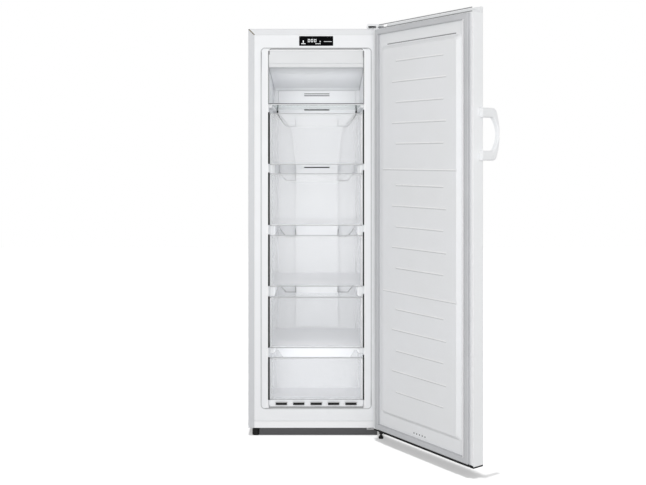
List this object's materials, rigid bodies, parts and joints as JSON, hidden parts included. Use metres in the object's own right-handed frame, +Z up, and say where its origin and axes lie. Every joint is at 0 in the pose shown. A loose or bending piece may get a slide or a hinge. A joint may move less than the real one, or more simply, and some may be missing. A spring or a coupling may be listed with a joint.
{
  "type": "upright freezer",
  "caption": "White upright freezer with its door open on clear drawers, a glass shelf, a front display and a bow handle.",
  "frame": {"origin": "on the floor, under the middle of the box round the whole freezer with its door open as stored", "axes": "+X right as seen from the front, +Y towards the back, +Z up; the door opening faces -Y"},
  "size_m": [1.0074, 1.1002, 1.8041],
  "materials": {
    "white_paint": "satin",
    "white_plastic": "satin",
    "foam": "matte",
    "zinc_steel": "satin",
    "dark_plastic": "satin",
    "black_paint": "satin",
    "hinge_steel": "satin",
    "copper": "satin",
    "aluminium": "satin",
    "heater_steel": "satin",
    "rubber": "matte",
    "gasket": "matte",
    "display_glass": "gloss",
    "shelf_glass": "gloss",
    "board_green": "satin",
    "clear_plastic": "gloss"
  },
  "bodies": {
    "cabinet": {"outer_shell": "white_paint", "back_panel": "zinc_steel", "inner_liner": "white_plastic", "cabinet_foam": "foam", "side_condenser": "copper", "bottom_rail": "white_paint", "base_frame": "zinc_steel", "base_plinth": "dark_plastic", "compressor_carrier": "zinc_steel", "compressor": "black_paint", "compressor_mounts": "rubber", "compressor_relay": "dark_plastic", "evaporating_tray": "dark_plastic", "refrigerant_tubes": "copper", "power_inlet": "dark_plastic", "display_glass": "display_glass", "display_housing": "dark_plastic", "control_board": "board_green", "top_fascia": "white_plastic", "evaporator_cover": "white_plastic", "air_duct": "white_plastic", "evaporator_coil": "aluminium", "defrost_heater": "heater_steel", "drip_trough": "aluminium", "fan_shroud": "dark_plastic", "fan_motor": "heater_steel", "glass_shelf": "shelf_glass", "shelf_trim": "dark_plastic", "floor_grille": "white_plastic", "upper_hinge_bracket": "hinge_steel", "lower_hinge_bracket": "black_paint", "hinge_screws": "zinc_steel", "hinge_cover": "white_plastic", "rear_roller_brackets": "zinc_steel"},
    "door": {"door_skin": "white_paint", "door_liner": "white_plastic", "door_foam": "foam", "door_top_cap": "white_plastic", "door_bottom_cap": "dark_plastic", "door_gasket": "gasket", "handle": "white_plastic", "handle_screws": "zinc_steel", "handle_plugs": "white_plastic", "hinge_bushes": "dark_plastic"},
    "drawer_1": {"drawer_1_tub": "clear_plastic", "drawer_1_front": "clear_plastic"},
    "drawer_2": {"drawer_2_tub": "clear_plastic", "drawer_2_front": "clear_plastic"},
    "drawer_3": {"drawer_3_tub": "clear_plastic", "drawer_3_front": "clear_plastic"},
    "drawer_4": {"drawer_4_tub": "clear_plastic", "drawer_4_front": "clear_plastic"},
    "drawer_5": {"drawer_5_tub": "clear_plastic", "drawer_5_front": "clear_plastic"},
    "fan": {"fan_rotor": "dark_plastic"},
    "left_foot": {"left_foot": "dark_plastic"},
    "right_foot": {"right_foot": "dark_plastic"},
    "left_roller": {"left_roller": "dark_plastic"},
    "right_roller": {"right_roller": "dark_plastic"}
  },
  "joints": [
    {"name": "door_hinge", "type": "hinge", "parent": "cabinet", "child": "door", "pos_m": [0.07581, -0.06486, 0.907], "axis": [0, 0, 1], "range_deg": [-126, 10]},
    {"name": "drawer_1_slide", "type": "slide", "parent": "cabinet", "child": "drawer_1", "axis": [0, -1, 0], "range_m": [0, 0.3]},
    {"name": "drawer_2_slide", "type": "slide", "parent": "cabinet", "child": "drawer_2", "axis": [0, -1, 0], "range_m": [0, 0.3]},
    {"name": "drawer_3_slide", "type": "slide", "parent": "cabinet", "child": "drawer_3", "axis": [0, -1, 0], "range_m": [0, 0.3]},
    {"name": "drawer_4_slide", "type": "slide", "parent": "cabinet", "child": "drawer_4", "axis": [0, -1, 0], "range_m": [0, 0.3]},
    {"name": "drawer_5_slide", "type": "slide", "parent": "cabinet", "child": "drawer_5", "axis": [0, -1, 0], "range_m": [0, 0.14]},
    {"name": "fan_spin", "type": "hinge", "parent": "cabinet", "child": "fan", "pos_m": [-0.20619, 0.35214, 1.632], "axis": [0, 1, 0], "continuous": true},
    {"name": "left_foot_screw", "type": "slide", "parent": "cabinet", "child": "left_foot", "axis": [0, 0, -1], "range_m": [0, 0.01]},
    {"name": "right_foot_screw", "type": "slide", "parent": "cabinet", "child": "right_foot", "axis": [0, 0, -1], "range_m": [0, 0.006]},
    {"name": "left_roller_spin", "type": "hinge", "parent": "cabinet", "child": "left_roller", "pos_m": [-0.45219, 0.51314, 0.014], "axis": [1, 0, 0], "continuous": true},
    {"name": "right_roller_spin", "type": "hinge", "parent": "cabinet", "child": "right_roller", "pos_m": [0.03981, 0.51314, 0.014], "axis": [1, 0, 0], "continuous": true}
  ]
}
